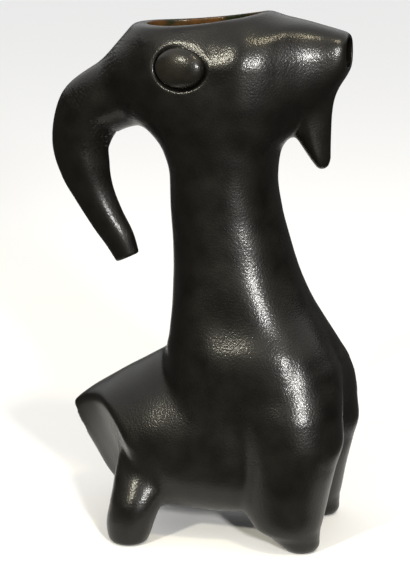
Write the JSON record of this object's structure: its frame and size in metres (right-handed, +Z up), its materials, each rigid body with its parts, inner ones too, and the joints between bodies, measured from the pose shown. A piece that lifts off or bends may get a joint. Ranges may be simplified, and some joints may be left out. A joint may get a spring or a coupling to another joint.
{
  "type": "goat-shaped pitcher",
  "caption": "Standing goat-shaped ceramic pitcher, hollow body, neck and head, mouth in the crown, muzzle that pours and a swept-back horn as the handle.",
  "frame": {"origin": "on the table under the middle of the pitcher's bounding box", "axes": "+X the way the goat looks, +Y to the goat's left, +Z up"},
  "size_m": [0.1778, 0.109, 0.3],
  "materials": {
    "wall_glaze": "satin black glaze, amber and green inside the mouth",
    "limb_glaze": "satin black glaze",
    "eye_glaze": "satin black glaze, a little glossier"
  },
  "bodies": {
    "root": {"body_shell": "wall_glaze", "neck": "wall_glaze", "head_shell": "wall_glaze", "muzzle_spout": "wall_glaze", "horn_handle": "limb_glaze", "beard": "limb_glaze", "right_eye": "eye_glaze", "left_eye": "eye_glaze", "front_right_leg": "limb_glaze", "front_left_leg": "limb_glaze", "rear_right_leg": "limb_glaze", "rear_left_leg": "limb_glaze"}
  },
  "joints": []
}
